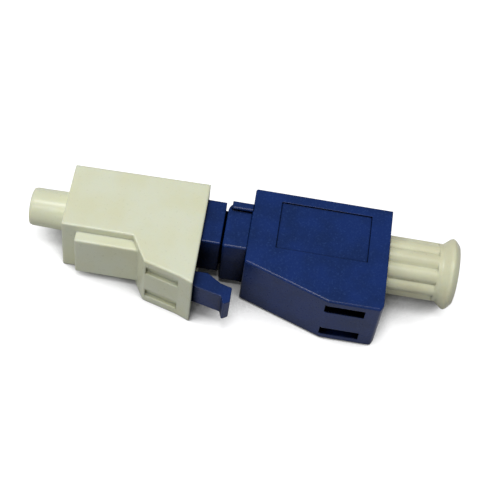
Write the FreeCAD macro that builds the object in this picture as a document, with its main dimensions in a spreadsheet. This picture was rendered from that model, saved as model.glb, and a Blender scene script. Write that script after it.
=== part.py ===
"""In-line fibre attenuator: a latched plug at one end, a socket for the same plug at the other.

Frame: the optical axis is X, and x = 0 is the shoulder where the plug's neck meets the socket
housing. The plug points to -X and the socket opens to +X. The latch is on the -Y side, and +Z is
the flat side that faces up when the part lies down. All lengths are in millimetres.
"""
import FreeCAD, Part
import math
import os
import re
import Sketcher

# (alias, millimetres, what it is)
SIZES = [
    # plug body, the square moulding that goes into a socket
    ("plug_side", 4.52, "side of the plug's square body"),
    ("plug_length", 12.63, "length of the plug's square body"),
    ("plug_gap", 2.37, "from the shoulder to the plug body's rear end"),
    ("plug_edge", 0.15, "edge round of the plug body"),
    ("plug_nose_edge", 0.3, "chamfer round the plug's front face"),
    ("plug_mouth_r", 1.65, "radius of the hollow round the ferrule tip"),
    ("plug_mouth_deep", 2.8, "depth of the hollow round the ferrule tip"),
    ("collar_wall", 0.5, "wall that the ferrule collar seats against"),
    ("collar_wall_r", 1.0, "hole in the collar wall"),
    ("spring_room_r", 1.62, "radius of the spring's chamber"),
    ("snap_length", 1.1, "length of the snap window in the plug's side"),
    ("snap_width", 1.8, "width of the snap window in the plug's side"),
    ("snap_back", 2.5, "from the plug's rear end to the snap window"),
    # latch lever
    ("pivot_back", 1.55, "from the plug's front face to the latch's bending line"),
    ("foot_back", 0.85, "from the plug's front face to the latch's foot"),
    ("pivot_drop", 2.72, "bending line below the optical axis"),
    ("root_r", 0.42, "radius of the latch's rounded root"),
    ("root_gap", 0.03, "running gap between latch root and its seat"),
    ("latch_width", 2.56, "width of the latch lever"),
    ("latch_edge", 0.12, "edge round of the latch lever"),
    ("arm_end_x", 9.6, "latch arm, where the ramp starts, from the shoulder"),
    ("arm_outer", 3.7, "latch arm's outer face there, from the axis"),
    ("arm_thick", 0.74, "latch arm's thickness there"),
    ("ramp_foot_x", 8.68, "foot of the latch's ramp, from the shoulder"),
    ("ramp_foot_y", 3.8, "foot of the latch's ramp, from the axis"),
    ("ramp_top_x", 7.72, "top of the latch's ramp, from the shoulder"),
    ("ramp_top_y", 5.24, "top of the latch's ramp, from the axis"),
    ("tail_x", 3.87, "latch's outer face where it leaves the cap, from the shoulder"),
    ("tail_y", 6.38, "latch's outer face there, from the axis"),
    ("hook_start_x", 1.5, "foot of the thumb ridge, from the shoulder"),
    ("hook_start_y", 6.92, "foot of the thumb ridge, from the axis"),
    ("hook_x", 1.24, "outer end of the thumb ridge, from the shoulder"),
    ("hook_y", 7.66, "outer end of the thumb ridge, from the axis"),
    ("latch_end", 0.69, "latch's free end, from the shoulder"),
    ("end_outer_y", 7.3, "free end's outer corner, from the axis"),
    ("end_inner_y", 5.92, "free end's inner corner, from the axis"),
    ("pad_x", 1.74, "thumb pad's inner bend, from the shoulder"),
    ("pad_y", 5.62, "thumb pad's inner bend, from the axis"),
    ("step_x", 2.98, "end of the thick part, from the shoulder"),
    ("step_y", 4.82, "thick part's inner face, from the axis"),
    ("thick_x", 4.9, "start of the thick part, from the shoulder"),
    ("belly_x", 8.35, "latch's inner bend under the ramp, from the shoulder"),
    ("belly_y", 3.34, "latch's inner bend under the ramp, from the axis"),
    ("lug_front", 7.62, "front of the latch's side lugs, from the shoulder"),
    ("lug_back", 6.05, "back of the latch's side lugs, from the shoulder"),
    ("lug_width", 4.36, "width across the latch's side lugs"),
    ("lug_thick", 1.0, "thickness of the latch's side lugs"),
    ("lug_drop", 0.04, "lugs' outer face below the latch's"),
    # core: neck, spigots and seats for the inner pieces
    ("neck_length", 2.15, "length of the neck in front of the shoulder"),
    ("neck_back_y", 2.1, "neck's back face, from the axis"),
    ("neck_front_y", 2.71, "neck's latch-side face, from the axis"),
    ("neck_thick", 5.56, "neck's thickness"),
    ("neck_corner", 0.95, "round of the neck's back corner"),
    ("neck_edge", 0.2, "edge round of the neck"),
    ("rib_length", 1.85, "length of the rib on the neck's flat face"),
    ("rib_low", 1.16, "rib's lower edge, from the axis"),
    ("rib_high", 0.34, "height of the rib"),
    ("rib_width", 0.82, "width of the rib"),
    ("spigot_side", 3.4, "side of the spigot in the plug body"),
    ("spigot_length", 4.35, "length of the spigot in front of the neck"),
    ("spigot_gap", 0.03, "gap round the spigot"),
    ("nub_high", 0.36, "height of the snap nub"),
    ("nub_gap", 0.08, "gap round the snap nub"),
    ("tenon_side", 4.0, "side of the core's tenon in the socket's end wall"),
    ("tenon_gap", 0.02, "gap round the tenon"),
    ("sleeve_gap", 0.08, "radial gap round the split sleeve"),
    ("ferrule_pass", 0.06, "radial gap where the ferrule passes the core"),
    # ferrule, collar, spring and fibre
    ("ferrule_r", 0.6245, "ferrule radius"),
    ("ferrule_length", 16.45, "ferrule length"),
    ("ferrule_out", 2.0, "ferrule tip beyond the plug's front face"),
    ("ferrule_chamfer", 0.14, "chamfer of the ferrule ends"),
    ("fibre_r", 0.0625, "fibre radius"),
    ("fibre_gap", 0.004, "radial gap round the fibre"),
    ("glue_gap", 0.01, "radial gap between ferrule and collar"),
    ("collar_r", 1.5, "radius of the collar's head"),
    ("collar_head", 1.2, "length of the collar's head"),
    ("collar_barrel_r", 0.98, "radius of the collar's barrel"),
    ("collar_barrel", 1.7, "length of the collar's barrel"),
    ("notch_width", 0.5, "width of the collar's tuning notches"),
    ("notch_deep", 0.32, "depth of the collar's tuning notches"),
    ("notch_count", 4, "number of tuning notches"),
    ("wire_d", 0.26, "spring wire diameter"),
    ("spring_r", 1.26, "spring radius to the middle of the wire"),
    ("spring_pitch", 1.36, "spring pitch"),
    ("spring_end_gap", 0.03, "gap at each end of the spring"),
    # sleeve and its holder
    ("sleeve_r", 0.81, "outer radius of the split sleeve"),
    ("sleeve_bore_gap", 0.0125, "radial gap between ferrule and sleeve"),
    ("sleeve_length", 6.8, "length of the split sleeve"),
    ("sleeve_slit", 0.3, "width of the sleeve's slit"),
    ("holder_r", 1.44, "outer radius of the sleeve holder's tube"),
    ("holder_flange_r", 1.75, "radius of the sleeve holder's flange"),
    ("holder_flange", 1.3, "length of the sleeve holder's flange"),
    ("holder_lip_r", 0.73, "radius of the ferrule entry in the holder's lip"),
    ("holder_lip", 0.9, "thickness of the holder's lip"),
    ("lip_slant", 0.4, "length of the lip's slanted back"),
    ("holder_end_gap", 0.12, "gap between the sleeve's ends and its stops"),
    ("holder_edge", 0.25, "chamfer of the holder's free end"),
    # socket housing
    ("socket_length", 12.35, "length of the socket housing"),
    ("socket_back_y", 3.68, "housing's back face, from the axis"),
    ("socket_front_y", 6.82, "housing's latch-side face at the mouth, from the axis"),
    ("socket_nose_y", 4.11, "housing's latch-side face at the shoulder, from the axis"),
    ("socket_slope_x", 7.62, "end of the housing's sloping face, from the shoulder"),
    ("socket_thick", 6.2, "housing's thickness"),
    ("socket_edge", 0.2, "edge round of the housing"),
    ("socket_corner", 0.45, "chamfer at the housing's latch-side mouth edge"),
    ("socket_open", 4.64, "side of the socket's square opening"),
    ("socket_wall", 0.9, "socket's end wall"),
    ("channel_width", 4.64, "width of the channel for the latch's lugs"),
    ("channel_y", 5.42, "roof of the lug channel, from the axis"),
    ("channel_wall", 0.95, "wall left beside the sloping face"),
    ("slot_width", 2.9, "width of the slot for the latch's tail"),
    ("slot_y", 6.06, "roof of the tail slot, from the axis"),
    ("slot_start", 8.3, "start of the tail slot, from the shoulder"),
    ("window_start", 7.43, "start of the latch windows, from the shoulder"),
    ("window_length", 3.48, "length of the latch windows"),
    ("window_low", 1.32, "latch window's inner edge, from the middle"),
    ("window_width", 1.06, "width of a latch window"),
    ("panel_start", 2.45, "start of the sunk panel, from the shoulder"),
    ("panel_length", 8.11, "length of the sunk panel"),
    ("panel_low", 2.22, "panel's latch-side edge, from the axis"),
    ("panel_high", 2.65, "panel's back edge, from the axis"),
    ("panel_deep", 0.1, "depth of the sunk panel"),
    # plug cap
    ("cap_mouth", 4.06, "cap's mouth, from the shoulder"),
    ("cap_back_y", 3.19, "cap's back face at its mouth, from the axis"),
    ("cap_end_y", 2.95, "cap's back face at its closed end, from the axis"),
    ("cap_front_y", 3.49, "cap's latch-side face, from the axis"),
    ("cap_thick", 6.5, "cap's thickness"),
    ("cap_edge", 0.14, "edge round of the cap"),
    ("cap_fit", 0.08, "gap between cap and plug"),
    ("cap_end_gap", 0.25, "gap in front of the plug inside the cap"),
    ("cap_end_wall", 0.9, "cap's wall in front of the plug"),
    ("slant_start", 9.82, "start of the cap's slanted wall, from the shoulder"),
    ("flare_start", 8.44, "start of the cap's flare, from the shoulder"),
    ("flare_start_y", 5.88, "cap's flare at its start, from the axis"),
    ("flare_bend", 5.27, "bend of the cap's flare, from the shoulder"),
    ("flare_bend_y", 6.78, "cap's flare at its bend, from the axis"),
    ("flare_mouth_y", 7.29, "cap's flare at its mouth, from the axis"),
    ("flare_wall", 0.6, "wall of the cap's flare"),
    ("flare_room", 4.76, "width of the hollow in the cap's flare"),
    ("boss_back", 0.17, "from the plug's front face to the latch boss"),
    ("boss_width", 4.94, "width of the latch boss"),
    ("boss_y", 4.5, "latch boss's outer face, from the axis"),
    ("boss_wall", 0.52, "wall of the latch boss"),
    ("latch_room", 0.2, "gap beside the latch in the cap"),
    ("grip_slot_start", 8.28, "start of the slots in the flare, from the shoulder"),
    ("grip_slot_length", 2.95, "length of the slots in the flare"),
    ("grip_slot_low", 1.27, "slot's inner edge, from the middle"),
    ("grip_slot_width", 1.1, "width of a slot in the flare"),
    ("grip_slot_deep", 0.42, "depth of a slot in the flare"),
    ("nose_r", 1.76, "cap's nose radius at its root"),
    ("nose_tip_r", 1.7, "cap's nose radius at its tip"),
    ("nose_length", 3.44, "length of the cap's nose"),
    ("nose_edge", 0.3, "round of the nose's end, in two steps"),
    ("nose_bore_r", 0.95, "hollow of the cap's nose"),
    ("nose_end", 0.8, "wall at the end of the cap's nose"),
    # dust plug
    ("grip_start", 0.05, "gap between the socket's face and the dust plug's grip"),
    ("lobe_count", 10, "number of lobes round the grip"),
    ("lobe_r", 0.78, "radius of a lobe"),
    ("lobe_out", 1.84, "lobe's middle, from the axis"),
    ("lobe_turn", 27, "turn of the first lobe from +Y, in degrees"),
    ("lobe_length", 4.5, "length of the lobed grip"),
    ("groove_r", 2.3, "radius at the bottom of the grooves"),
    ("ring_r", 2.6, "radius of the plain ring behind the lobes"),
    ("ring_length", 0.4, "length of the plain ring"),
    ("rim_r", 3.2, "radius of the dust plug's rim"),
    ("rim_cone", 0.7, "length of the cone from the ring to the rim's crest"),
    ("rim_crest", 0.25, "length of the rim's crest"),
    ("rim_fall", 0.45, "length of the cone behind the crest"),
    ("rim_end_r", 2.7, "radius of the dust plug's outer end"),
    ("rim_edge", 0.1, "easing on each side of the crest's two edges"),
    ("stem_r", 2.18, "radius of the dust plug's stem"),
    ("stem_length", 6.2, "length of the stem in the socket"),
    ("stem_bore_r", 1.62, "hollow of the stem"),
    ("stem_edge", 0.4, "chamfer of the stem's end"),
    ("stem_end_wall", 0.9, "wall at the dust plug's outer end"),
]

# places worked out from the sizes
PLACES = {
    "plug_rear": "-plug_gap",
    "plug_front": "-plug_gap - plug_length",
    "plug_half": "plug_side / 2",
    "mouth_end": "plug_front + plug_mouth_deep",
    "collar_seat": "mouth_end + collar_wall",
    "spigot_front": "-neck_length - spigot_length",
    "pivot_x": "plug_front + pivot_back",
    "pivot_y": "-pivot_drop",
    "snap_x": "plug_rear - snap_back",
    "tip_x": "plug_front - ferrule_out",
    "reference_x": "tip_x + ferrule_length",
    "sleeve_start": "reference_x - sleeve_length / 2",
    "sleeve_end": "reference_x + sleeve_length / 2",
    "sleeve_room_r": "sleeve_r + sleeve_gap",
    "sleeve_bore_r": "ferrule_r + sleeve_bore_gap",
    "holder_end": "sleeve_end + holder_end_gap + holder_lip",
    "collar_head_end": "collar_seat + collar_head",
    "collar_end": "collar_head_end + collar_barrel",
    "cap_front": "plug_front - cap_end_gap - cap_end_wall",
    "boss_x": "plug_front + boss_back",
    "nose_tip": "cap_front - nose_length",
    "ease": "1 - sqrt(1 / 2)",
    "slope": "(socket_front_y - socket_nose_y) / socket_slope_x",
    "flare_slope": "(flare_bend_y - flare_start_y) / (flare_start - flare_bend)",
    "grip_x": "socket_length + grip_start",
    "ring_x": "grip_x + lobe_length",
    "rim_x": "ring_x + ring_length + rim_cone",
    "dust_end": "rim_x + rim_crest + rim_fall",
    "stem_start": "socket_length - stem_length",
    "rim_rise": "(rim_r - ring_r) / rim_cone",
    "rim_drop": "(rim_r - rim_end_r) / rim_fall",
    "foot_x": "plug_front + foot_back",
    "spring_start": "collar_head_end + wire_d / 2 + spring_end_gap",
    "spring_stop": "spigot_front - wire_d / 2 - spring_end_gap",
}

BEYOND = "0.5"  # how far a cutting sketch reaches past the face that it opens

doc = FreeCAD.newDocument("fibre_attenuator")
sheet = doc.addObject("Spreadsheet::Sheet", "Sizes")
for row, (alias, number, meaning) in enumerate(SIZES, start=1):
    sheet.set(f"A{row}", meaning)
    sheet.set(f"B{row}", str(number))
    sheet.setAlias(f"B{row}", alias)
doc.recompute()

ALIASES = {alias for alias, _, _ in SIZES}


def bind(text):
    """Writes out a formula of size and place names as a FreeCAD expression."""

    def spell(word):
        name = word.group(0)
        if name in ALIASES:
            return f"Sizes.{name}"
        if name in PLACES:
            return f"({bind(PLACES[name])})"
        return name

    return re.sub(r"[a-z][a-z_]*", spell, str(text))


def number(text):
    """The present value of a formula."""
    return float(sheet.evalExpression(bind(text)))


def new_body(name):
    body = doc.addObject("PartDesign::Body", name)
    body.Label = name
    return body


def new_sketch(body, name, plane, height="0"):
    """A sketch on one of the body's origin planes, moved along the plane's normal."""
    sketch = body.newObject("Sketcher::SketchObject", name)
    origin_plane = next(f for f in body.Origin.OriginFeatures if f.Role == plane)
    sketch.AttachmentSupport = (origin_plane, [""])
    sketch.MapMode = "FlatFace"
    sketch.setExpression("AttachmentOffset.Base.z", bind(height))
    return sketch


def pin_point(sketch, geometry, end, across, up):
    """Fixes a point of the sketch at two formulas."""
    for kind, formula in (("DistanceX", across), ("DistanceY", up)):
        at = sketch.addConstraint(
            Sketcher.Constraint(kind, -1, 1, geometry, end, number(formula))
        )
        sketch.setExpression(f"Constraints[{at}]", bind(formula))


def outline(body, name, plane, corners, height="0"):
    """A closed sketch of straight edges through corners given as pairs of formulas."""
    sketch = new_sketch(body, name, plane, height)
    places = [FreeCAD.Vector(number(x), number(y), 0) for x, y in corners]
    for start, end in zip(places, places[1:] + places[:1]):
        sketch.addGeometry(Part.LineSegment(start, end), False)
    count = len(corners)
    for edge in range(count):
        sketch.addConstraint(
            Sketcher.Constraint("Coincident", edge, 2, (edge + 1) % count, 1)
        )
    for edge, (x, y) in enumerate(corners):
        pin_point(sketch, edge, 1, x, y)
    return sketch


def box_outline(body, name, plane, low, high, height="0"):
    """A rectangle between two opposite corners."""
    corners = [(low[0], low[1]), (high[0], low[1]), (high[0], high[1]), (low[0], high[1])]
    return outline(body, name, plane, corners, height)


def circle(body, name, plane, radius, centre=("0", "0"), height="0"):
    sketch = new_sketch(body, name, plane, height)
    middle = FreeCAD.Vector(number(centre[0]), number(centre[1]), 0)
    normal = FreeCAD.Vector(0, 0, 1)
    sketch.addGeometry(Part.Circle(middle, normal, number(radius)), False)
    pin_point(sketch, 0, 3, *centre)
    at = sketch.addConstraint(Sketcher.Constraint("Radius", 0, number(radius)))
    sketch.setExpression(f"Constraints[{at}]", bind(radius))
    return sketch


def sweep_straight(body, kind, sketch, length, symmetric=False, reverse=False):
    """A Pad or Pocket of a sketch."""
    feature = body.newObject(f"PartDesign::{kind}", f"{sketch.Name}_{kind}".lower())
    feature.Profile = sketch
    feature.SideType = "Symmetric" if symmetric else "One side"
    feature.Reversed = reverse
    feature.setExpression("Length", bind(length))
    return feature


def pad(body, sketch, length, **how):
    return sweep_straight(body, "Pad", sketch, length, **how)


def pocket(body, sketch, length, **how):
    """A Pocket, with a test that it took something away."""
    doc.recompute()
    before = body.Shape.Volume
    feature = sweep_straight(body, "Pocket", sketch, length, **how)
    doc.recompute()
    if body.Shape.Volume >= before - 1e-6:
        raise RuntimeError(f"{sketch.Name} cuts nothing")
    return feature


def turn(body, kind, sketch):
    """A Revolution or Groove of a sketch in the XY plane about the optical axis."""
    feature = body.newObject(f"PartDesign::{kind}", f"{sketch.Name}_{kind}".lower())
    feature.Profile = sketch
    axis = next(f for f in body.Origin.OriginFeatures if f.Role == "X_Axis")
    feature.ReferenceAxis = (axis, [""])
    feature.Angle = 360
    return feature


def repeat_round(body, name, feature, count):
    """Repeats a feature about the optical axis."""
    pattern = body.newObject("PartDesign::PolarPattern", name)
    pattern.Originals = [feature]
    axis = next(f for f in body.Origin.OriginFeatures if f.Role == "X_Axis")
    pattern.Axis = (axis, [""])
    pattern.Angle = 360
    pattern.setExpression("Occurrences", bind(count))
    body.Tip = pattern
    return pattern


def soften(body, name, kind, size, choose=None):
    """Rounds or chamfers the edges that choose picks, or all of them."""
    doc.recompute()
    base = body.Tip
    edges = [
        f"Edge{at}"
        for at, edge in enumerate(base.Shape.Edges, start=1)
        if choose is None or choose(edge)
    ]
    feature = body.newObject(f"PartDesign::{kind}", name)
    feature.Base = (base, edges)
    feature.setExpression("Radius" if kind == "Fillet" else "Size", bind(size))
    return feature


def middle(edge):
    return edge.CenterOfMass


def near(value, formula):
    return abs(value - number(formula)) < 1e-4


def along(edge, axis):
    """Whether an edge is straight and runs along an axis, given as 0, 1 or 2."""
    if len(edge.Vertexes) < 2:
        return False
    run = edge.Vertexes[-1].Point - edge.Vertexes[0].Point
    return run.Length > edge.Length - 1e-6 and abs(run[axis]) > 0.999 * run.Length


def in_plane(edge, x):
    """Whether a whole edge lies at x."""
    return near(edge.BoundBox.XMin, x) and near(edge.BoundBox.XMax, x)


def make_plug_housing():
    body = new_body("plug_housing")
    half = "plug_half"
    low, high = ("plug_front", f"-{half}"), ("plug_rear", half)
    side = box_outline(body, "plug_outline", "XY_Plane", low, high)
    pad(body, side, "plug_side", symmetric=True)
    soften(body, "plug_nose", "Chamfer", "plug_nose_edge", lambda e: in_plane(e, "plug_front"))
    soften(body, "plug_edges", "Fillet", "plug_edge", lambda e: along(e, 0))
    # short pedestal that the latch bends from, with a hollow seat for the latch's root
    foot = box_outline(
        body,
        "latch_foot",
        "XY_Plane",
        ("foot_x", "pivot_y - root_r"),
        ("pivot_x - root_r / 2", "-plug_half + plug_edge"),
    )
    pad(body, foot, "latch_width", symmetric=True)
    seat = circle(body, "latch_seat", "XY_Plane", "root_r + root_gap", ("pivot_x", "pivot_y"))
    pocket(body, seat, "latch_width + plug_edge", symmetric=True)
    # hollows along the axis, from the front and from the rear
    mouth = circle(body, "tip_hollow", "YZ_Plane", "plug_mouth_r", height="plug_front")
    pocket(body, mouth, "plug_mouth_deep", reverse=True)
    hole = circle(body, "collar_hole", "YZ_Plane", "collar_wall_r", height="mouth_end")
    pocket(body, hole, "collar_wall", reverse=True)
    room = circle(body, "spring_room", "YZ_Plane", "spring_room_r", height="plug_rear")
    pocket(body, room, "plug_rear - collar_seat")
    reach = "spigot_side / 2 + spigot_gap"
    square = box_outline(
        body, "spigot_room", "YZ_Plane", (f"-({reach})", f"-({reach})"), (reach, reach), "plug_rear"
    )
    pocket(body, square, "plug_rear - spigot_front + spigot_gap")
    # windows in both flat sides for the core's snap nubs
    window = box_outline(
        body,
        "snap_window",
        "XY_Plane",
        ("snap_x - snap_length", "-snap_width / 2"),
        ("snap_x", "snap_width / 2"),
    )
    pocket(body, window, "plug_side + 1", symmetric=True)
    return body


def make_latch_lever():
    body = new_body("latch_lever")
    root = circle(body, "latch_root", "XY_Plane", "root_r", ("pivot_x", "pivot_y"))
    pad(body, root, "latch_width", symmetric=True)
    arm = [
        ("pivot_x", "pivot_y + root_r * 0.72"),
        ("pivot_x", "pivot_y - root_r"),
        ("-arm_end_x", "-arm_outer"),
        ("-ramp_foot_x", "-ramp_foot_y"),
        ("-ramp_top_x", "-ramp_top_y"),
        ("-tail_x", "-tail_y"),
        ("-hook_start_x", "-hook_start_y"),
        ("-hook_x", "-hook_y"),
        ("-latch_end", "-end_outer_y"),
        ("-latch_end", "-end_inner_y"),
        ("-pad_x", "-pad_y"),
        ("-step_x", "-step_y"),
        ("-thick_x", "-step_y"),
        ("-belly_x", "-belly_y"),
        ("-arm_end_x", "-arm_outer + arm_thick"),
    ]
    lever = outline(body, "lever_outline", "XY_Plane", arm)
    pad(body, lever, "latch_width", symmetric=True)
    corners = ("hook_start_x", "hook_x", "latch_end", "pad_x", "step_x", "ramp_top_x", "belly_x")
    soften(
        body,
        "lever_bends",
        "Fillet",
        "latch_edge",
        lambda e: along(e, 2) and any(near(-middle(e).x, x) for x in corners),
    )
    tail_slope = "(tail_y - ramp_top_y) / (ramp_top_x - tail_x)"
    front_y = f"(ramp_top_y + (ramp_top_x - lug_front) * {tail_slope})"
    back_y = f"(ramp_top_y + (ramp_top_x - lug_back) * {tail_slope})"
    lug = [
        ("-lug_front", f"-{front_y} + lug_drop"),
        ("-lug_back", f"-{back_y} + lug_drop"),
        ("-lug_back", f"-{back_y} + lug_thick"),
        ("-lug_front", f"-{front_y} + lug_thick"),
    ]
    lugs = outline(body, "lug_outline", "XY_Plane", lug)
    pad(body, lugs, "lug_width", symmetric=True)
    soften(
        body,
        "lug_edges",
        "Fillet",
        "latch_edge",
        lambda e: abs(abs(middle(e).z) - number("lug_width / 2")) < 1e-4,
    )
    return body


def make_core_body():
    body = new_body("core_body")
    neck = box_outline(
        body, "neck_outline", "XY_Plane", ("-neck_length", "-neck_front_y"), ("0", "neck_back_y")
    )
    pad(body, neck, "neck_thick", symmetric=True)
    soften(
        body,
        "neck_corner_round",
        "Fillet",
        "neck_corner",
        lambda e: along(e, 2) and near(middle(e).x, "-neck_length") and middle(e).y > 0,
    )
    soften(body, "neck_edges", "Fillet", "neck_edge", lambda e: middle(e).x < -1e-3)
    for name, side in (("rib_up", 1), ("rib_down", -1)):
        rib = box_outline(
            body,
            name,
            "XY_Plane",
            ("-rib_length", "rib_low"),
            ("0", "min(rib_low + rib_width; neck_back_y)"),
            f"{side} * (neck_thick / 2 - rib_high)",
        )
        pad(body, rib, "2 * rib_high", reverse=side < 0)
    soften(
        body,
        "rib_edges",
        "Fillet",
        "rib_high * 0.55",
        lambda e: abs(middle(e).z) > number("neck_thick / 2 + rib_high * 0.3")
        and middle(e).x < -1e-3,
    )
    half = "spigot_side / 2"
    spigot = box_outline(
        body, "front_spigot", "YZ_Plane", (f"-({half})", f"-({half})"), (half, half), "-neck_length / 2"
    )
    pad(body, spigot, "spigot_length + neck_length / 2", reverse=True)
    half = "tenon_side / 2"
    tenon = box_outline(
        body, "rear_tenon", "YZ_Plane", (f"-({half})", f"-({half})"), (half, half), "-neck_length / 2"
    )
    pad(body, tenon, "neck_length / 2 + socket_wall")
    nub = box_outline(
        body,
        "snap_nub",
        "XY_Plane",
        ("snap_x - snap_length + nub_gap", "-snap_width / 2 + nub_gap"),
        ("snap_x - nub_gap", "snap_width / 2 - nub_gap"),
    )
    pad(body, nub, "spigot_side + 2 * nub_high", symmetric=True)
    soften(
        body,
        "nub_ramps",
        "Chamfer",
        "nub_high * 0.8",
        lambda e: along(e, 1)
        and near(middle(e).x, "snap_x - snap_length + nub_gap")
        and abs(middle(e).z) > number("spigot_side / 2 + nub_high / 2"),
    )
    # seats along the axis: sleeve holder, split sleeve and a close hole for the ferrule
    seat = circle(body, "holder_seat", "YZ_Plane", "holder_flange_r + spigot_gap", height="socket_wall")
    pocket(body, seat, "holder_flange")
    sleeve = circle(body, "sleeve_seat", "YZ_Plane", "sleeve_room_r", height="socket_wall")
    pocket(body, sleeve, "socket_wall - sleeve_start + holder_end_gap")
    hole = circle(body, "ferrule_hole", "YZ_Plane", "ferrule_r + ferrule_pass", height="socket_wall")
    pocket(body, hole, "socket_wall - spigot_front + 1")
    return body


def make_socket_housing():
    body = new_body("socket_housing")
    corners = [
        ("0", "socket_back_y"),
        ("0", "-socket_nose_y"),
        ("socket_slope_x", "-socket_front_y"),
        ("socket_length - socket_corner / 2", "-socket_front_y"),
        ("socket_length", "-socket_front_y + socket_corner"),
        ("socket_length", "socket_back_y"),
    ]
    side = outline(body, "socket_outline", "XY_Plane", corners)
    pad(body, side, "socket_thick", symmetric=True)
    soften(body, "socket_edges", "Fillet", "socket_edge", lambda e: not in_plane(e, "socket_length"))
    # square room for a plug, and the opening in the end wall for the core's tenon
    half = "socket_open / 2"
    room = box_outline(
        body, "plug_room", "YZ_Plane", (f"-({half})", f"-({half})"), (half, half), "socket_length"
    )
    pocket(body, room, "socket_length - socket_wall")
    half = "tenon_side / 2 + tenon_gap"
    end = box_outline(body, "tenon_hole", "YZ_Plane", (f"-({half})", f"-({half})"), (half, half))
    pocket(body, end, "socket_wall + 0.1", reverse=True)
    # stepped channel for a plug's latch: wide for its lugs, narrow for its tail
    foot_x = "socket_wall + channel_wall"
    foot_y = "-socket_nose_y - slope * (socket_wall + channel_wall) + channel_wall"
    roof_x = "(channel_y + channel_wall - socket_nose_y) / slope"
    channel = [
        (f"socket_length + {BEYOND}", "-plug_half + 0.5"),
        (foot_x, "-plug_half + 0.5"),
        (foot_x, foot_y),
        (roof_x, "-channel_y"),
        (f"socket_length + {BEYOND}", "-channel_y"),
    ]
    lug_channel = outline(body, "lug_channel", "XY_Plane", channel)
    pocket(body, lug_channel, "channel_width", symmetric=True)
    slot = box_outline(
        body,
        "tail_slot",
        "XY_Plane",
        ("slot_start", "-slot_y"),
        (f"socket_length + {BEYOND}", "-channel_y + 0.5"),
    )
    pocket(body, slot, "slot_width", symmetric=True)
    # latch windows through the latch-side wall
    for name, low in (("window_up", "window_low"), ("window_down", "-window_low - window_width")):
        window = box_outline(
            body,
            name,
            "XZ_Plane",
            ("window_start", low),
            ("window_start + window_length", f"{low} + window_width"),
            f"socket_front_y + {BEYOND}",
        )
        pocket(body, window, f"socket_front_y - channel_y + 2 * {BEYOND}")
    # shallow sunk panel in both flat faces
    for name, side in (("panel_up", 1), ("panel_down", -1)):
        panel = box_outline(
            body,
            name,
            "XY_Plane",
            ("panel_start", "-panel_low"),
            ("panel_start + panel_length", "panel_high"),
            f"{side} * socket_thick / 2",
        )
        pocket(body, panel, "panel_deep", reverse=side < 0)
    return body


def on_flare(x, depth):
    """y on the cap's flare at a distance x from the shoulder, depth inside its outer face."""
    return f"-(flare_start_y + (flare_start - ({x})) * flare_slope) + {depth}"


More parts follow.
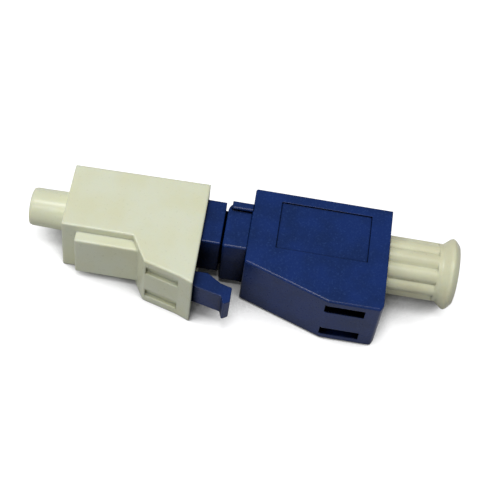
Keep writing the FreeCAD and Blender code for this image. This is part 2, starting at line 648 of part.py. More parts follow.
def make_plug_cap():
    body = new_body("plug_cap")
    corners = [
        ("cap_front", "cap_end_y"),
        ("cap_front", "-cap_front_y"),
        ("-slant_start", "-cap_front_y"),
        ("-flare_start", "-flare_start_y"),
        ("-flare_bend", "-flare_bend_y"),
        ("-cap_mouth", "-flare_mouth_y"),
        ("-cap_mouth", "cap_back_y"),
    ]
    side = outline(body, "cap_outline", "XY_Plane", corners)
    pad(body, side, "cap_thick", symmetric=True)
    soften(body, "cap_edges", "Fillet", "cap_edge", lambda e: not in_plane(e, "-cap_mouth"))
    # boss over the latch's arm, which dies into the slanted wall
    slant_run = "(flare_start - slant_start) / (flare_start_y - cap_front_y)"
    boss = [
        ("boss_x", "-cap_front_y + 0.5"),
        ("boss_x", "-boss_y"),
        (f"-slant_start - (boss_y - cap_front_y) * {slant_run} + 0.15", "-boss_y"),
        ("-slant_start + 0.15", "-cap_front_y + 0.5"),
    ]
    latch_boss = outline(body, "latch_boss", "XY_Plane", boss)
    pad(body, latch_boss, "boss_width", symmetric=True)
    soften(
        body,
        "boss_edges",
        "Fillet",
        "cap_edge",
        lambda e: near(middle(e).y, "-boss_y")
        or (along(e, 1) and near(middle(e).x, "boss_x")),
    )
    # round nose
    nose = outline(
        body,
        "nose_outline",
        "XY_Plane",
        [
            ("cap_front + cap_edge", "0"),
            ("nose_tip", "0"),
            ("nose_tip", "nose_tip_r - nose_edge"),
            ("nose_tip + nose_edge * ease", "nose_tip_r - nose_edge * ease"),
            ("nose_tip + nose_edge", "nose_tip_r"),
            ("cap_front + cap_edge", "nose_r"),
        ],
    )
    turn(body, "Revolution", nose)
    # hollow for the plug, the ferrule tip and the latch
    half = "plug_half + cap_fit"
    room = box_outline(
        body, "plug_pocket", "YZ_Plane", (f"-({half})", f"-({half})"), (half, half), "-cap_mouth"
    )
    pocket(body, room, "-cap_mouth - plug_front + cap_end_gap")
    bore = circle(body, "nose_bore", "YZ_Plane", "nose_bore_r", height="plug_front")
    pocket(body, bore, "plug_front - nose_tip - nose_end")
    channel = box_outline(
        body,
        "arm_channel",
        "XY_Plane",
        ("boss_x + boss_wall", "-boss_y + boss_wall"),
        ("-flare_start", "0"),
    )
    pocket(body, channel, "latch_width + 2 * latch_room", symmetric=True)
    # inner face of the slanted wall: parallel to the outer one
    slant_long = "sqrt((slant_start - flare_start) ^ 2 + (flare_start_y - cap_front_y) ^ 2)"
    slant_shift = f"flare_wall * {slant_long} / (flare_start_y - cap_front_y)"
    inner_top_y = on_flare("flare_start", "flare_wall")
    run = "(slant_start - flare_start) / (flare_start_y - cap_front_y)"
    high_y = "-plug_half"
    flare = [
        (f"-cap_mouth + {BEYOND}", "0"),
        (f"-slant_start + {slant_shift} - (cap_front_y - plug_half) * {run}", "0"),
        (f"-slant_start + {slant_shift} - (cap_front_y - plug_half) * {run}", high_y),
        (f"-flare_start + {slant_shift} - flare_wall * {run}", inner_top_y),
        ("-flare_bend", "-flare_bend_y + flare_wall"),
        ("-cap_mouth", "-flare_mouth_y + flare_wall"),
        (f"-cap_mouth + {BEYOND}", "-flare_mouth_y + flare_wall"),
    ]
    hollow = outline(body, "flare_hollow", "XY_Plane", flare)
    pocket(body, hollow, "flare_room", symmetric=True)
    # blind slots in the flare
    slot = [
        ("-grip_slot_start", on_flare("grip_slot_start", "grip_slot_deep")),
        ("-grip_slot_start", on_flare("grip_slot_start", f"-{BEYOND}")),
        (
            "-grip_slot_start + grip_slot_length",
            on_flare("grip_slot_start - grip_slot_length", f"-{BEYOND}"),
        ),
        (
            "-grip_slot_start + grip_slot_length",
            on_flare("grip_slot_start - grip_slot_length", "grip_slot_deep"),
        ),
    ]
    for name, side in (("grip_slot_up", 1), ("grip_slot_down", -1)):
        cut = outline(body, name, "XY_Plane", slot, f"{side} * grip_slot_low")
        pocket(body, cut, "grip_slot_width", reverse=side > 0)
    return body


def make_dust_plug():
    body = new_body("dust_plug")
    profile = outline(
        body,
        "dust_profile",
        "XY_Plane",
        [
            ("stem_start", "0"),
            ("stem_start", "stem_r - stem_edge / 2"),
            ("stem_start + stem_edge", "stem_r"),
            ("grip_x", "stem_r"),
            ("grip_x", "groove_r"),
            ("ring_x", "groove_r"),
            ("ring_x", "ring_r"),
            ("ring_x + ring_length", "ring_r"),
            ("rim_x - rim_edge", "rim_r - rim_edge * rim_rise"),
            ("rim_x + rim_edge", "rim_r"),
            ("rim_x + rim_crest - rim_edge", "rim_r"),
            ("rim_x + rim_crest + rim_edge", "rim_r - rim_edge * rim_drop"),
            ("dust_end", "rim_end_r"),
            ("dust_end", "0"),
        ],
    )
    turn(body, "Revolution", profile)
    # round lobes that stand on the grip's core and meet in narrow grooves
    centre = ("lobe_out * cos(lobe_turn)", "lobe_out * sin(lobe_turn)")
    lobe = circle(body, "lobe", "YZ_Plane", "lobe_r", centre, "grip_x")
    repeat_round(body, "lobes", pad(body, lobe, "lobe_length"), "lobe_count")
    bore = circle(body, "stem_bore", "YZ_Plane", "stem_bore_r", height="stem_start")
    pocket(body, bore, "dust_end - stem_end_wall - stem_start", reverse=True)
    return body


def make_ferrule():
    body = new_body("ferrule")
    bore = "fibre_r + fibre_gap"
    profile = outline(
        body,
        "ferrule_profile",
        "XY_Plane",
        [
            ("tip_x", bore),
            ("tip_x", "ferrule_r - ferrule_chamfer"),
            ("tip_x + ferrule_chamfer * 2", "ferrule_r"),
            ("reference_x - ferrule_chamfer * 2", "ferrule_r"),
            ("reference_x", "ferrule_r - ferrule_chamfer"),
            ("reference_x", bore),
        ],
    )
    turn(body, "Revolution", profile)
    return body


def make_ferrule_collar():
    body = new_body("ferrule_collar")
    bore = "ferrule_r + glue_gap"
    profile = outline(
        body,
        "collar_profile",
        "XY_Plane",
        [
            ("collar_seat", bore),
            ("collar_seat", "collar_r"),
            ("collar_head_end", "collar_r"),
            ("collar_head_end", "collar_barrel_r"),
            ("collar_end", "collar_barrel_r"),
            ("collar_end", bore),
        ],
    )
    turn(body, "Revolution", profile)
    notch = box_outline(
        body,
        "notch",
        "YZ_Plane",
        ("-notch_width / 2", "collar_r - notch_deep"),
        ("notch_width / 2", "collar_r + 0.5"),
        "collar_seat",
    )
    repeat_round(body, "notches", pocket(body, notch, "collar_head", reverse=True), "notch_count")
    return body


def make_sleeve_holder():
    body = new_body("sleeve_holder")
    seat_start = "socket_wall - holder_flange"
    profile = outline(
        body,
        "holder_profile",
        "XY_Plane",
        [
            (seat_start, "sleeve_room_r"),
            (seat_start, "holder_flange_r"),
            ("socket_wall", "holder_flange_r"),
            ("socket_wall", "holder_r"),
            ("holder_end - holder_edge", "holder_r"),
            ("holder_end", "holder_r - holder_edge"),
            ("holder_end", "holder_lip_r + holder_edge / 2"),
            ("holder_end - holder_edge / 2", "holder_lip_r"),
            ("holder_end - holder_lip + lip_slant", "holder_lip_r"),
            ("holder_end - holder_lip", "sleeve_room_r"),
        ],
    )
    turn(body, "Revolution", profile)
    return body


def make_split_sleeve():
    outer = doc.addObject("Part::Cylinder", "sleeve_outer")
    inner = doc.addObject("Part::Cylinder", "sleeve_inner")
    slit = doc.addObject("Part::Box", "sleeve_gap_box")
    outer.setExpression("Radius", bind("sleeve_r"))
    inner.setExpression("Radius", bind("sleeve_bore_r"))
    for tube in (outer, inner):
        tube.setExpression("Height", bind("sleeve_length"))
        tube.Placement.Rotation = FreeCAD.Rotation(FreeCAD.Vector(0, 1, 0), 90)
        tube.setExpression("Placement.Base.x", bind("sleeve_start"))
    slit.setExpression("Length", bind("sleeve_length"))
    slit.setExpression("Width", bind("sleeve_slit"))
    slit.setExpression("Height", bind("sleeve_r * 2"))
    slit.setExpression("Placement.Base.x", bind("sleeve_start"))
    slit.setExpression("Placement.Base.y", bind("-sleeve_slit / 2"))
    bored = doc.addObject("Part::Cut", "sleeve_bored")
    bored.Base, bored.Tool = outer, inner
    sleeve = doc.addObject("Part::Cut", "split_sleeve")
    sleeve.Base, sleeve.Tool = bored, slit
    sleeve.Label = "split_sleeve"
    return sleeve


def make_fibre():
    fibre = doc.addObject("Part::Cylinder", "doped_fibre")
    fibre.setExpression("Radius", bind("fibre_r"))
    fibre.setExpression("Height", bind("ferrule_length"))
    fibre.Placement.Rotation = FreeCAD.Rotation(FreeCAD.Vector(0, 1, 0), 90)
    fibre.setExpression("Placement.Base.x", bind("tip_x"))
    fibre.Label = "doped_fibre"
    return fibre


def make_spring():
    """A coil from the collar's head to the core's spigot; its wire has eight flat sides."""
    coil = doc.addObject("Part::Helix", "spring_coil")
    coil.setExpression("Pitch", bind("spring_pitch"))
    coil.setExpression("Height", bind("spring_stop - spring_start"))
    coil.setExpression("Radius", bind("spring_r"))
    coil.Placement.Rotation = FreeCAD.Rotation(FreeCAD.Vector(0, 1, 0), 90)
    coil.setExpression("Placement.Base.x", bind("spring_start"))
    wire = doc.addObject("Part::RegularPolygon", "spring_wire")
    wire.Polygon = 8
    wire.setExpression("Circumradius", bind("wire_d / 2"))
    # the wire's section stands square to the coil at its first point
    along_coil = FreeCAD.Vector(number("spring_pitch"), 2 * math.pi * number("spring_r"), 0)
    wire.Placement.Rotation = FreeCAD.Rotation(FreeCAD.Vector(0, 0, 1), along_coil)
    wire.setExpression("Placement.Base.x", bind("spring_start"))
    wire.setExpression("Placement.Base.z", bind("-spring_r"))
    doc.recompute()
    spring = doc.addObject("Part::Sweep", "ferrule_spring")
    spring.Sections = [wire]
    spring.Spine = (coil, [f"Edge{at}" for at in range(1, len(coil.Shape.Edges) + 1)])
    spring.Solid = True
    spring.Frenet = True
    spring.Label = "ferrule_spring"
    return spring


pieces = [
    make_plug_housing(),
    make_latch_lever(),
    make_core_body(),
    make_socket_housing(),
    make_plug_cap(),
    make_dust_plug(),
    make_ferrule(),
    make_ferrule_collar(),
    make_sleeve_holder(),
    make_split_sleeve(),
    make_fibre(),
    make_spring(),
]
doc.recompute()

failed = [o.Name for o in doc.Objects if {"Invalid", "Error"} & set(o.State)]
if failed:
    raise RuntimeError(f"these objects failed: {failed}")
for piece in pieces:
    shape = piece.Shape
    if shape.isNull() or not shape.isValid() or len(shape.Solids) != 1:
        raise RuntimeError(f"{piece.Label} is not one valid solid")

os.makedirs("parts", exist_ok=True)
for piece in pieces:
    piece.Shape.exportStep(f"parts/{piece.Label}.step")
    box = piece.Shape.BoundBox
    print(
        f"{piece.Label:16s} x {box.XMin:7.2f} {box.XMax:7.2f}  y {box.YMin:6.2f} {box.YMax:6.2f}"
        f"  z {box.ZMin:6.2f} {box.ZMax:6.2f}  {piece.Shape.Volume:8.3f} mm3"
    )
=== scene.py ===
"""Dresses the in-line fibre adapter: plastics, ceramic, metal and glass, then studio and camera."""

import math

import bpy
from bpy.props import FloatProperty, FloatVectorProperty, PointerProperty, StringProperty
from mathutils import Matrix, Vector


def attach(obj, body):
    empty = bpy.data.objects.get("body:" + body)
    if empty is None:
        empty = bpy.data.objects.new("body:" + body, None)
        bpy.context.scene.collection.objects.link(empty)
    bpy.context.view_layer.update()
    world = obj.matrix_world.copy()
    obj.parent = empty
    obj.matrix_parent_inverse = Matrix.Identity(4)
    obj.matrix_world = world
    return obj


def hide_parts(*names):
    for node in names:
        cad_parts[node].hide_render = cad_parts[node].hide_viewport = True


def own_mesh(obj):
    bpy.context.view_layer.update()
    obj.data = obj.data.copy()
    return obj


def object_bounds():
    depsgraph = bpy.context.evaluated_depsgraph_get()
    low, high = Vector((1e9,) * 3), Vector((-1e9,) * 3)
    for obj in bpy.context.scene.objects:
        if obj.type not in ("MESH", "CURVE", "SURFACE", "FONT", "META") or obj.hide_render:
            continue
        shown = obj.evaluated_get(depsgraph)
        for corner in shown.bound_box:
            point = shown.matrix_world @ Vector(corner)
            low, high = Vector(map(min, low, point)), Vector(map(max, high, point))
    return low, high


bl_info = {
    "name": "Fibre Adapter Finishes",
    "version": (1, 0, 0),
    "blender": (4, 5, 0),
    "location": "3D View > Sidebar > Adapter",
    "description": "Finishes, light and camera for an in-line fibre adapter",
    "category": "Object",
}

MM = 0.001

# noise scale along and across the axis that draws it out into rings round a turned piece
RING_STRETCH = (1.0, 0.05, 0.05)

# the colour sockets of a mix node, which share their names with its other kinds of sockets
MIX_FIRST, MIX_SECOND, MIX_RESULT = 6, 7, 2

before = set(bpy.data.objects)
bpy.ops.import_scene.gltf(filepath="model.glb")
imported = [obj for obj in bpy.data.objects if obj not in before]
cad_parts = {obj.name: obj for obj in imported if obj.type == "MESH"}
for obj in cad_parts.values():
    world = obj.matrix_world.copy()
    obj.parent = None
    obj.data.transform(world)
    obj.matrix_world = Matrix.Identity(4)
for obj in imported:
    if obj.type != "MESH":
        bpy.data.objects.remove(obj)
CAD_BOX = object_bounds()


def linear(colour):
    """An sRGB colour, written as #RRGGBB, as linear RGBA."""
    parts = [int(colour[at : at + 2], 16) / 255 for at in (1, 3, 5)]
    return [p / 12.92 if p <= 0.04045 else ((p + 0.055) / 1.055) ** 2.4 for p in parts] + [1.0]


class FinishSettings(bpy.types.PropertyGroup):
    """Colours and grain of the pieces."""

    blue: StringProperty(name="Blue", description="Colour of the blue mouldings", default="#122F6C")
    blue_deep: StringProperty(
        name="Blue, deep", description="Darker drift in the blue mouldings", default="#0F2A5E"
    )
    blue_speck: StringProperty(
        name="Blue, speck", description="Paler specks of the moulded grain", default="#33528C"
    )
    ivory: StringProperty(name="Cap ivory", description="Colour of the plug cap", default="#E8EBD1")
    ivory_warm: StringProperty(
        name="Cap ivory, warm", description="Yellower drift in the plug cap", default="#E6E7C6"
    )
    dust_ivory: StringProperty(
        name="Dust plug ivory", description="Colour of the dust plug", default="#DFDCB9"
    )
    shade: FloatProperty(
        name="Corner shade",
        description="How far shade gathers from the corners and grooves of the ivory mouldings",
        default=0.6 * MM,
        unit="LENGTH",
    )
    # the three reaches below set painted shade: darkening painted into the blue where walls are
    # near
    shade_between_reach: FloatProperty(
        name="Dark between walls",
        description="How near the walls are that leave the blue between them dark",
        default=5.0 * MM,
        unit="LENGTH",
    )
    window_shade_reach: FloatProperty(
        name="Dark in windows",
        description="How near the walls are that leave a window of the blue mouldings dark",
        default=2.0 * MM,
        unit="LENGTH",
    )
    line_shade_reach: FloatProperty(
        name="Dark in lines",
        description="Width of the dark line at the foot of a step in the blue mouldings",
        default=0.2 * MM,
        unit="LENGTH",
    )
    grain: FloatProperty(
        name="Mould grain",
        description="Size of the spark-eroded grain on the blue mouldings",
        default=0.16 * MM,
        unit="LENGTH",
    )
    edge_ease: FloatProperty(
        name="Edge easing",
        description="How far the gloss rolls over an edge of the blue mouldings",
        default=0.14 * MM,
        unit="LENGTH",
    )
    soft_ease: FloatProperty(
        name="Soft edge easing",
        description="How far the gloss rolls over an edge of the ivory mouldings",
        default=0.28 * MM,
        unit="LENGTH",
    )


class StudioSettings(bpy.types.PropertyGroup):
    """Camera place and light levels."""

    lens: FloatProperty(name="Lens", description="Focal length", default=97.85 * MM, unit="CAMERA")
    camera_place: FloatVectorProperty(
        name="Camera place",
        description="Where the camera stands",
        default=(0.255 * MM, -67.226 * MM, 101.472 * MM),
        subtype="TRANSLATION",
    )
    elevation: FloatProperty(
        name="Elevation",
        description="Camera above the floor",
        default=math.radians(56.83),
        subtype="ANGLE",
    )
    azimuth: FloatProperty(
        name="Azimuth",
        description="Camera's turn about the upright",
        default=math.radians(0.04),
        subtype="ANGLE",
    )
    roll: FloatProperty(
        name="Roll",
        description="Camera's turn about its own line",
        default=math.radians(-9.40),
        subtype="ANGLE",
    )
    key: FloatProperty(
        name="Key light", description="Power of the softbox overhead", default=0.53, unit="POWER"
    )
    side: FloatProperty(
        name="Side light",
        description="Power of the softbox at the cap's end",
        default=0.2,
        unit="POWER",
    )
    front: FloatProperty(
        name="Front light",
        description="Power of the small softbox by the camera",
        default=0.045,
        unit="POWER",
    )
    fill: FloatProperty(name="Sky", description="Strength of the even surround", default=0.245)
    floor_lift: FloatProperty(
        name="Floor lift", description="White added to the floor as the camera sees it", default=0.9
    )


def add_node(tree, kind, inputs=None, **settings):
    """A node with its settings; inputs maps a socket to a value or to another node's output."""
    node = tree.nodes.new(kind)
    for key, value in settings.items():
        setattr(node, key, value)
    for socket, value in (inputs or {}).items():
        if isinstance(value, bpy.types.NodeSocket):
            tree.links.new(value, node.inputs[socket])
        else:
            node.inputs[socket].default_value = value
    return node


def new_material(name, **shader_inputs):
    """A material of one principled shader; underscores in the input names stand for spaces."""
    material = bpy.data.materials.new(name)
    material.use_nodes = True
    tree = material.node_tree
    tree.nodes.clear()
    inputs = {socket.replace("_", " "): value for socket, value in shader_inputs.items()}
    shader = add_node(tree, "ShaderNodeBsdfPrincipled", inputs)
    output = add_node(tree, "ShaderNodeOutputMaterial")
    tree.links.new(shader.outputs["BSDF"], output.inputs["Surface"])
    return material, tree, shader


def noise(tree, size, detail=2.0, stretch=(1.0, 1.0, 1.0)):
    """Noise, from 0 to 1, whose features are about this many metres across."""
    place = add_node(tree, "ShaderNodeTexCoord").outputs["Object"]
    scaled = add_node(tree, "ShaderNodeMapping", {"Vector": place, "Scale": stretch})
    inputs = {"Vector": scaled.outputs["Vector"], "Scale": 1.0 / size, "Detail": detail}
    return add_node(tree, "ShaderNodeTexNoise", inputs).outputs["Fac"]


def blend_colours(tree, factor, stops):
    """A colour that follows a factor between two (place, #RRGGBB) stops."""
    node = add_node(tree, "ShaderNodeValToRGB", {"Fac": factor})
    for element, (place, colour) in zip(node.color_ramp.elements, stops):
        element.position = place
        element.color = linear(colour)
    return node.outputs["Color"]


def mix_colours(tree, factor, first, second):
    """A node's colour where the factor is 0 and the second colour, #RRGGBB, where it is 1."""
    inputs = {"Factor": factor, MIX_FIRST: first, MIX_SECOND: linear(second)}
    return add_node(tree, "ShaderNodeMix", inputs, data_type="RGBA").outputs[MIX_RESULT]


def math_node(tree, operation, first, second):
    """A sum, product or other operation on two values, kept from 0 to 1."""
    inputs = {0: first, 1: second}
    node = add_node(tree, "ShaderNodeMath", inputs, operation=operation, use_clamp=True)
    return node.outputs["Value"]


def spread(tree, factor, low, high, start=0.0, end=1.0):
    """A factor between start and end, stretched to run from low to high."""
    inputs = {"Value": factor, "From Min": start, "From Max": end, "To Min": low, "To Max": high}
    return add_node(tree, "ShaderNodeMapRange", inputs).outputs["Result"]


def bump(tree, height, distance, under=None):
    """A surface normal that follows a height from 0 to 1 of this many metres."""
    inputs = {"Height": height, "Distance": distance}
    if under is not None:
        inputs["Normal"] = under
    return add_node(tree, "ShaderNodeBump", inputs).outputs["Normal"]


def in_corners(tree, reach, own_walls=False):
    """0 in a corner or a groove and 1 in the open, for walls within this many metres."""
    node = add_node(
        tree, "ShaderNodeAmbientOcclusion", {"Distance": reach}, samples=8, only_local=own_walls
    )
    return node.outputs["AO"]


def darkened(tree, colour, open_share, depth, start, end):
    """A colour that falls to this share of itself as open_share falls from end to start."""
    level = spread(tree, open_share, depth, 1.0, start, end)
    grey = add_node(tree, "ShaderNodeCombineColor", {"Red": level, "Green": level, "Blue": level})
    inputs = {"Factor": 1.0, MIX_FIRST: colour, MIX_SECOND: grey.outputs["Color"]}
    node = add_node(tree, "ShaderNodeMix", inputs, data_type="RGBA", blend_type="MULTIPLY")
    return node.outputs[MIX_RESULT]


def eased_edges(tree, radius):
    """A surface normal that rolls over each edge within this radius."""
    return add_node(tree, "ShaderNodeBevel", {"Radius": radius}, samples=6).outputs["Normal"]


def blue_moulding(settings):
    """PBT, injection moulded in a spark-eroded tool: deep blue, its sheen broken by fine grain."""
    material, tree, shader = new_material("pbt_moulded_blue", IOR=1.5)
    drift = noise(tree, size=2.5 * MM, detail=3.0)
    body = blend_colours(tree, drift, [(0.35, settings.blue_deep), (0.6, settings.blue)])
    grain = noise(tree, size=settings.grain)
    # only the tops of the grain are pale, so the specks stay apart
    speck = spread(tree, grain, low=0.0, high=0.5, start=0.56, end=0.8)
    colour = mix_colours(tree, speck, body, settings.blue_speck)
    # painted shade: so dark a plastic gives almost no light back from between the pieces or out of
    # a window, so the colour is darkened where other walls are near, in its own windows and along
    # the foot of each step
    between = in_corners(tree, settings.shade_between_reach)
    window_shade = in_corners(tree, settings.window_shade_reach, own_walls=True)
    line_shade = in_corners(tree, settings.line_shade_reach)
    colour = darkened(tree, colour, between, depth=0.02, start=0.3, end=0.62)
    colour = darkened(tree, colour, window_shade, depth=0.02, start=0.6, end=0.92)
    colour = darkened(tree, colour, line_shade, depth=0.3, start=0.5, end=0.8)
    tree.links.new(colour, shader.inputs["Base Color"])
    # painted shade on the sheen: the gloss is turned down in the same places, as if it found
    # nothing bright to show there
    gloss_shaded_in_windows_and_lines = math_node(tree, "MULTIPLY", window_shade, line_shade)
    gloss_shaded_in_windows_and_lines = spread(tree, gloss_shaded_in_windows_and_lines, low=0.0, high=0.28, start=0.4, end=0.85)
    gloss_shaded_between = spread(tree, between, low=0.0, high=1.0, start=0.3, end=0.6)
    gloss = math_node(tree, "MULTIPLY", gloss_shaded_in_windows_and_lines, gloss_shaded_between)
    tree.links.new(gloss, shader.inputs["Specular IOR Level"])
    roughness = spread(tree, grain, low=0.24, high=0.34)
    tree.links.new(roughness, shader.inputs["Roughness"])
    edges = eased_edges(tree, settings.edge_ease)
    ripple = bump(tree, noise(tree, size=1.6 * MM, detail=1.0), 0.012 * MM, under=edges)
    tree.links.new(bump(tree, grain, 0.006 * MM, under=ripple), shader.inputs["Normal"])
    return material


def ivory_moulding(name, settings, colours):
    """Low-density polyethylene, injection moulded: a waxy ivory, faintly see-through and soft."""
    material, tree, shader = new_material(
        name,
        IOR=1.51,
        Subsurface_Weight=0.3,
        Subsurface_Radius=(1.0, 0.85, 0.55),
        Subsurface_Scale=0.5 * MM,
    )
    drift = noise(tree, size=3.5 * MM, detail=3.0)
    body = blend_colours(tree, drift, [(0.35, colours[0]), (0.6, colours[1])])
    # painted shade: the ivory is darkened in its corners and grooves
    corners = in_corners(tree, settings.shade)
    colour = darkened(tree, body, corners, depth=0.6, start=0.2, end=0.75)
    tree.links.new(colour, shader.inputs["Base Color"])
    grain = noise(tree, size=0.22 * MM)
    roughness = spread(tree, grain, low=0.24, high=0.34)
    tree.links.new(roughness, shader.inputs["Roughness"])
    edges = eased_edges(tree, settings.soft_ease)
    ripple = bump(tree, noise(tree, size=2.0 * MM, detail=1.0), 0.015 * MM, under=edges)
    tree.links.new(bump(tree, grain, 0.004 * MM, under=ripple), shader.inputs["Normal"])
    return material


def zirconia():
    """Zirconia ceramic, ground and polished: dense, milky white, with a clean hard gloss."""
    material, tree, shader = new_material(
        "zirconia_polished",
        IOR=2.1,
        Subsurface_Weight=0.25,
        Subsurface_Radius=(1.0, 0.95, 0.85),
        Subsurface_Scale=0.3 * MM,
    )
    cloud = noise(tree, size=0.8 * MM)
    colour = blend_colours(tree, cloud, [(0.3, "#EDEBE2"), (0.7, "#F4F3EC")])
    tree.links.new(colour, shader.inputs["Base Color"])
    # rings left by centreless grinding, drawn wider than the real ones so that they show
    rings = noise(tree, size=0.12 * MM, detail=1.0, stretch=RING_STRETCH)
    roughness = spread(tree, rings, low=0.12, high=0.22)
    tree.links.new(roughness, shader.inputs["Roughness"])
    return material


def plated_brass():
    """Brass, turned and nickel plated: warm grey metal with fine turning rings."""
    material, tree, shader = new_material("brass_nickel_plated", Metallic=1.0)
    rings = noise(tree, size=0.1 * MM, detail=1.0, stretch=RING_STRETCH)
    colour = blend_colours(tree, rings, [(0.3, "#B9B4A9"), (0.7, "#CFCBC1")])
    tree.links.new(colour, shader.inputs["Base Color"])
    roughness = spread(tree, rings, low=0.22, high=0.34)
    tree.links.new(roughness, shader.inputs["Roughness"])
    tree.links.new(bump(tree, rings, 0.003 * MM), shader.inputs["Normal"])
    return material


def spring_wire():
    """Stainless spring steel, drawn and coiled: cool grey with faint draw marks."""
    material, tree, shader = new_material("spring_steel_drawn", Metallic=1.0)
    marks = noise(tree, size=0.15 * MM)
    colour = blend_colours(tree, marks, [(0.3, "#9C9DA0"), (0.7, "#B7B9BC")])
    tree.links.new(colour, shader.inputs["Base Color"])
    roughness = spread(tree, marks, low=0.25, high=0.38)
    tree.links.new(roughness, shader.inputs["Roughness"])
    return material


def silica():
    """Fused silica fibre, polished flush with the ceramic: clear, with a faint cool cast."""
    material, tree, shader = new_material(
        "fused_silica", IOR=1.46, Transmission_Weight=0.9, Base_Color=linear("#DCE6EA")
    )
    haze = noise(tree, size=0.05 * MM, detail=1.0)
    roughness = spread(tree, haze, low=0.02, high=0.06)
    tree.links.new(roughness, shader.inputs["Roughness"])
    return material


def dress(material, *nodes):
    """Gives CAD nodes one material."""
    for node in nodes:
        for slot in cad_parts[node].material_slots:
            slot.material = material


class ADAPTER_OT_blue_mouldings(bpy.types.Operator):
    """Finishes the plug housing, latch, core, socket housing and sleeve holder"""

    bl_idname = "adapter.blue_mouldings"
    bl_label = "Blue mouldings"

    def execute(self, context):
        blue = blue_moulding(context.scene.adapter_finish)
        dress(blue, "plug_housing", "latch_lever", "core_body", "socket_housing", "sleeve_holder")
        return {"FINISHED"}


class ADAPTER_OT_ivory_mouldings(bpy.types.Operator):
    """Finishes the plug cap and the dust plug"""

    bl_idname = "adapter.ivory_mouldings"
    bl_label = "Ivory mouldings"

    def execute(self, context):
        settings = context.scene.adapter_finish
        cap_colours = (settings.ivory_warm, settings.ivory)
        plug_colours = (settings.ivory_warm, settings.dust_ivory)
        dress(ivory_moulding("ldpe_moulded_ivory", settings, cap_colours), "plug_cap")
        dress(ivory_moulding("ldpe_moulded_pale", settings, plug_colours), "dust_plug")
        return {"FINISHED"}


def add_spring(material):
    """The coil spring, an unmoving copy of the CAD spring; the real one shortens towards its fixed
    end as the ferrule goes in.
    """
    spring = bpy.data.objects.new("coil_spring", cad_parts["ferrule_spring"].data.copy())
    bpy.context.scene.collection.objects.link(spring)
    spring.data.materials.clear()
    spring.data.materials.append(material)
    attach(spring, "main_body")
    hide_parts("ferrule_spring")
    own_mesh(spring)


class ADAPTER_OT_inner_pieces(bpy.types.Operator):
    """Finishes the ferrule, sleeve, collar, spring and fibre"""

    bl_idname = "adapter.inner_pieces"
    bl_label = "Inner pieces"

    def execute(self, context):
        dress(zirconia(), "ferrule", "split_sleeve")
        dress(plated_brass(), "ferrule_collar")
        wire = spring_wire()
        dress(wire, "ferrule_spring")
        add_spring(wire)
        dress(silica(), "doped_fibre")
        return {"FINISHED"}


class ADAPTER_OT_studio(bpy.types.Operator):
    """Lays the pale floor, sets the soft light and places the camera"""

    bl_idname = "adapter.studio"
    bl_label = "Studio"

    def execute(self, context):
        scene = context.scene
        settings = scene.adapter_studio
        scene.view_settings.view_transform = "Standard"
        add_floor(settings.floor_lift)
        add_world(settings.fill)
        add_softbox("key_softbox", place=(-0.03, -0.012, 0.35), size=0.08, power=settings.key)
        add_softbox("side_softbox", place=(-0.26, 0.02, 0.23), size=0.1, power=settings.side)
        add_softbox("front_softbox", place=(-0.04, -0.11, 0.16), size=0.04, power=settings.front)
        add_camera(scene, settings)
        return {"FINISHED"}


def add_floor(lift):
    """A matt sheet under the part, lifted to plain white outside the part's soft shadow."""
    half = 1.2
    contact_reach = 8.0 * MM
    level = CAD_BOX[0][2]
    mesh = bpy.data.meshes.new("floor")
    corners = [(x * half, y * half, level) for x, y in ((-1, -1), (1, -1), (1, 1), (-1, 1))]
    mesh.from_pydata(corners, [], [(0, 1, 2, 3)])
    floor = bpy.data.objects.new("floor", mesh)
    bpy.context.scene.collection.objects.link(floor)
    white = linear("#FFFFFF")
    material, tree, shader = new_material(
        "paper_matt", Base_Color=linear("#A9A9A9"), Roughness=0.9, Emission_Color=white
    )
    # the lift fades out where the part is near, which paints a contact shade under it so that its
    # shadow stays, and what the part's gloss and glass show of the floor is lifted less there:
    # painted shade in those reflections
    path = add_node(tree, "ShaderNodeLightPath").outputs
    open_share = in_corners(tree, contact_reach)
    seen = spread(tree, open_share, low=0.0, high=1.0, start=0.32, end=0.58)
    mirrored = spread(tree, open_share, low=0.0, high=0.38, start=0.3, end=1.0)
    by_camera = math_node(tree, "MULTIPLY", path["Is Camera Ray"], seen)
    by_gloss = math_node(tree, "ADD", path["Is Glossy Ray"], path["Is Transmission Ray"])
    by_gloss = math_node(tree, "MULTIPLY", by_gloss, mirrored)
    lifted = math_node(tree, "MULTIPLY", math_node(tree, "ADD", by_camera, by_gloss), lift)
    tree.links.new(lifted, shader.inputs["Emission Strength"])
    mesh.materials.append(material)


def add_world(strength):
    """An even surround, a little cool."""
    world = bpy.data.worlds.new("studio_surround")
    bpy.context.scene.world = world
    world.use_nodes = True
    tree = world.node_tree
    tree.nodes.clear()
    inputs = {"Color": linear("#F4F7FF"), "Strength": strength}
    back = add_node(tree, "ShaderNodeBackground", inputs)
    output = add_node(tree, "ShaderNodeOutputWorld")
    tree.links.new(back.outputs["Background"], output.inputs["Surface"])


def add_softbox(name, place, size, power):
    """A square soft light that faces the part."""
    light = bpy.data.lights.new(name, "AREA")
    light.shape = "SQUARE"
    light.size = size
    light.energy = power
    lamp = bpy.data.objects.new(name, light)
    lamp.location = place
    lamp.rotation_euler = (-Vector(place)).to_track_quat("-Z", "Y").to_euler()
    bpy.context.scene.collection.objects.link(lamp)


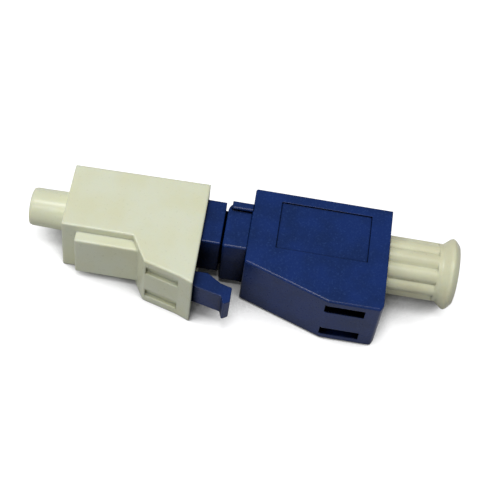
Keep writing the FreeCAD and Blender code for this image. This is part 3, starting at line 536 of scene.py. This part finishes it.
def camera_turn(elevation, azimuth, roll):
    """The camera's axes: right, up and back, as the columns of a turn."""
    forward = Vector(
        (
            math.sin(azimuth) * math.cos(elevation),
            math.cos(azimuth) * math.cos(elevation),
            -math.sin(elevation),
        )
    )
    right = Vector((math.cos(azimuth), -math.sin(azimuth), 0))
    up = right.cross(forward)
    turned_right = math.cos(roll) * right - math.sin(roll) * up
    turned_up = math.sin(roll) * right + math.cos(roll) * up
    return Matrix((turned_right, turned_up, -forward)).transposed()


def add_camera(scene, settings):
    """The camera, at its place and turn."""
    camera = bpy.data.cameras.new("camera")
    camera.lens_unit = "MILLIMETERS"
    camera.sensor_width = 36
    camera.lens = settings.lens / MM
    camera.clip_start = 0.01
    view = bpy.data.objects.new("camera", camera)
    turn = camera_turn(settings.elevation, settings.azimuth, settings.roll)
    view.matrix_world = Matrix.Translation(settings.camera_place) @ turn.to_4x4()
    scene.collection.objects.link(view)
    scene.camera = view


class ADAPTER_PT_panel(bpy.types.Panel):
    """Lists the steps that dress the adapter"""

    bl_idname = "ADAPTER_PT_panel"
    bl_label = "Fibre adapter"
    bl_space_type = "VIEW_3D"
    bl_region_type = "UI"
    bl_category = "Adapter"

    def draw(self, context):
        for step in STEPS:
            self.layout.operator(step.bl_idname)


STEPS = (
    ADAPTER_OT_blue_mouldings,
    ADAPTER_OT_ivory_mouldings,
    ADAPTER_OT_inner_pieces,
    ADAPTER_OT_studio,
)
CLASSES = (FinishSettings, StudioSettings, *STEPS, ADAPTER_PT_panel)


def register():
    """Adds the settings, the steps and the panel."""
    for kind in CLASSES:
        bpy.utils.register_class(kind)
    bpy.types.Scene.adapter_finish = PointerProperty(type=FinishSettings)
    bpy.types.Scene.adapter_studio = PointerProperty(type=StudioSettings)


def unregister():
    """Takes the settings, the steps and the panel away."""
    del bpy.types.Scene.adapter_studio
    del bpy.types.Scene.adapter_finish
    for kind in reversed(CLASSES):
        bpy.utils.unregister_class(kind)


def main():
    """Dresses the part: adds the settings and steps, then runs each step in turn."""
    register()
    bpy.ops.adapter.blue_mouldings()
    bpy.ops.adapter.ivory_mouldings()
    bpy.ops.adapter.inner_pieces()
    bpy.ops.adapter.studio()


if __name__ == "__main__":
    main()
